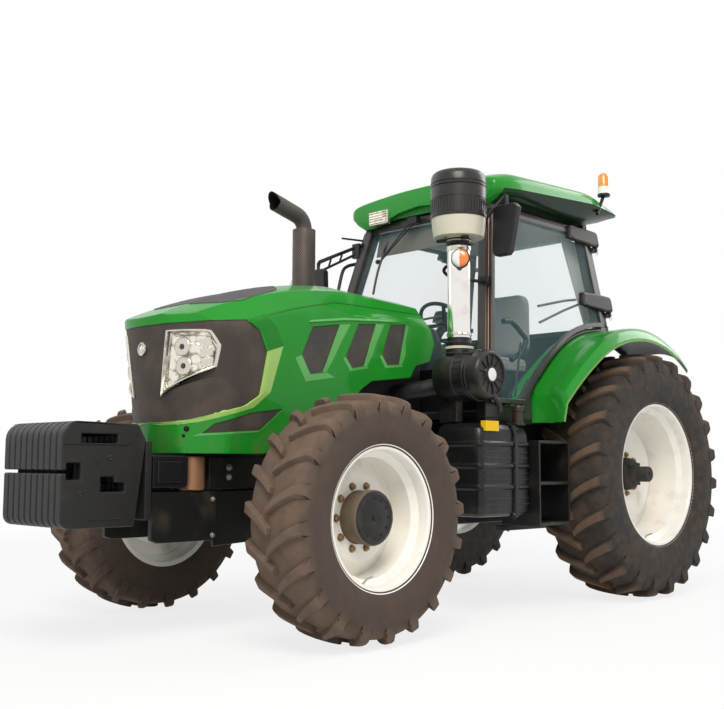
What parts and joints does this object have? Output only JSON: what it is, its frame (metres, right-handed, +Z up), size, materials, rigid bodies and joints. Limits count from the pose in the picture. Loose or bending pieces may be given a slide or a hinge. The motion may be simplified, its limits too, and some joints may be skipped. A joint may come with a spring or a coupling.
{
  "type": "four-wheel-drive farm tractor with a cab",
  "caption": "Green farm tractor with a glazed cab, cream wheels, front weights, steering front wheels, tilting hood, opening doors and a rear linkage.",
  "frame": {"origin": "on the ground below the centre of the model's footprint", "axes": "+X is the tractor's left, -Y is forward, +Z is up"},
  "size_m": [2.3146, 5.2335, 3.1147],
  "materials": {
    "tyre_rubber": "dusty black rubber",
    "rim_cream": "gloss cream enamel",
    "body_green": "gloss green enamel",
    "chassis_black": "satin black paint on castings",
    "black_plastic": "matte moulded black plastic",
    "clear_glass": "clear tinted glass",
    "lamp_lens": "clear lens over bright reflectors",
    "bright_steel": "polished tube",
    "seat_fabric": "grey woven seat cloth"
  },
  "bodies": {
    "chassis": {"air_cleaner": "black_plastic", "battery_box": "black_plastic", "cab_body": "black_plastic", "cab_frame": "black_plastic", "cab_windows": "clear_glass", "drawbar": "chassis_black", "engine_block": "chassis_black", "exhaust_stack": "bright_steel", "front_axle_beam": "chassis_black", "front_drive_shaft": "chassis_black", "front_support": "chassis_black", "front_weights": "chassis_black", "fuel_tank": "black_plastic", "intake_pipe": "bright_steel", "mirrors": "black_plastic", "precleaner": "black_plastic", "rear_axle_housing": "chassis_black", "rear_fenders": "body_green", "roof": "body_green", "roof_lamps": "black_plastic", "seat": "seat_fabric", "seat_base": "black_plastic", "steering_column": "black_plastic", "steering_cylinder": "chassis_black", "steps": "chassis_black", "transmission_housing": "chassis_black", "weight_bracket": "chassis_black"},
    "hood": {"hood_top": "body_green", "hood_side_left": "body_green", "hood_side_right": "body_green", "hood_mesh": "black_plastic", "headlights": "lamp_lens"},
    "steering_wheel_body": {"steering_wheel": "black_plastic"},
    "tie_rod_body": {"tie_rod": "chassis_black"},
    "steering_rod_body": {"steering_rod": "bright_steel"},
    "lift_arms_body": {"lift_arms": "chassis_black"},
    "lower_links_body": {"lower_links": "chassis_black"},
    "lift_rods_body": {"lift_rods": "chassis_black"},
    "door_body_left": {"door_left": "black_plastic", "door_glass_left": "clear_glass"},
    "knuckle_body_left": {"knuckle_left": "chassis_black"},
    "front_wheel_left": {"tyre_front_left": "tyre_rubber", "rim_front_left": "rim_cream", "hub_front_left": "chassis_black"},
    "rear_wheel_left": {"tyre_rear_left": "tyre_rubber", "rim_rear_left": "rim_cream", "hub_rear_left": "chassis_black"},
    "door_body_right": {"door_right": "black_plastic", "door_glass_right": "clear_glass"},
    "knuckle_body_right": {"knuckle_right": "chassis_black"},
    "front_wheel_right": {"tyre_front_right": "tyre_rubber", "rim_front_right": "rim_cream", "hub_front_right": "chassis_black"},
    "rear_wheel_right": {"tyre_rear_right": "tyre_rubber", "rim_rear_right": "rim_cream", "hub_rear_right": "chassis_black"}
  },
  "joints": [
    {"name": "hood_hinge", "type": "hinge", "parent": "chassis", "child": "hood", "pos_m": [0, -0.13681, 1.905], "axis": [-1, 0, 0], "range_deg": [0, 45]},
    {"name": "door_hinge_left", "type": "hinge", "parent": "chassis", "child": "door_body_left", "pos_m": [0.65625, 1.63094, 2.275], "axis": [-0.1672, -0.0688, 0.9835], "range_deg": [0, 70]},
    {"name": "door_hinge_right", "type": "hinge", "parent": "chassis", "child": "door_body_right", "pos_m": [-0.65625, 1.63094, 2.275], "axis": [-0.1672, 0.0688, -0.9835], "range_deg": [0, 70]},
    {"name": "steer_left", "type": "hinge", "parent": "chassis", "child": "knuckle_body_left", "pos_m": [0.72, -1.26682, 0.652], "axis": [0, 0, 1], "range_deg": [-35, 35]},
    {"name": "steer_right", "type": "hinge", "parent": "chassis", "child": "knuckle_body_right", "pos_m": [-0.72, -1.26682, 0.652], "axis": [0, 0, 1], "range_deg": [-36, 36]},
    {"name": "tie_rod_pivot", "type": "hinge", "parent": "knuckle_body_left", "child": "tie_rod_body", "pos_m": [0.72, -1.07682, 0.722], "axis": [0, 0, 1], "range_deg": [-36, 36]},
    {"name": "steering_stroke", "type": "slide", "parent": "chassis", "child": "steering_rod_body", "axis": [1, 0, 0], "range_m": [-0.08, 0.08]},
    {"name": "steering_wheel_turn", "type": "hinge", "parent": "chassis", "child": "steering_wheel_body", "pos_m": [0, 0.53319, 1.905], "axis": [0, 0.6713, 0.7412], "range_deg": [-720, 720]},
    {"name": "front_wheel_spin_left", "type": "hinge", "parent": "knuckle_body_left", "child": "front_wheel_left", "pos_m": [0.955, -1.26682, 0.652], "axis": [1, 0, 0], "continuous": true},
    {"name": "rear_wheel_spin_left", "type": "hinge", "parent": "chassis", "child": "rear_wheel_left", "pos_m": [0.908, 1.55319, 0.862], "axis": [1, 0, 0], "continuous": true},
    {"name": "front_wheel_spin_right", "type": "hinge", "parent": "knuckle_body_right", "child": "front_wheel_right", "pos_m": [-0.955, -1.26682, 0.652], "axis": [1, 0, 0], "continuous": true},
    {"name": "rear_wheel_spin_right", "type": "hinge", "parent": "chassis", "child": "rear_wheel_right", "pos_m": [-0.908, 1.55319, 0.862], "axis": [1, 0, 0], "continuous": true},
    {"name": "hitch_lift", "type": "hinge", "parent": "chassis", "child": "lift_arms_body", "pos_m": [0, 1.73318, 1.215], "axis": [1, 0, 0], "range_deg": [-10, 30]},
    {"name": "lower_link_swing", "type": "hinge", "parent": "chassis", "child": "lower_links_body", "pos_m": [0, 1.72318, 0.61], "axis": [1, 0, 0], "range_deg": [-11, 31]},
    {"name": "lift_rod_swing", "type": "hinge", "parent": "lift_arms_body", "child": "lift_rods_body", "pos_m": [0, 2.12929, 1.15933], "axis": [1, 0, 0], "range_deg": [-31, 11]}
  ],
  "couplings": [
    {"joint": "steer_right", "follows": "steer_left", "ratio": 1},
    {"joint": "tie_rod_pivot", "follows": "steer_left", "ratio": -1},
    {"joint": "steering_stroke", "follows": "steer_left", "m_per_rad": -0.125},
    {"joint": "steering_wheel_turn", "follows": "steer_left", "ratio": 20.5},
    {"joint": "lower_link_swing", "follows": "hitch_lift", "ratio": 1},
    {"joint": "lift_rod_swing", "follows": "hitch_lift", "ratio": -1}
  ]
}
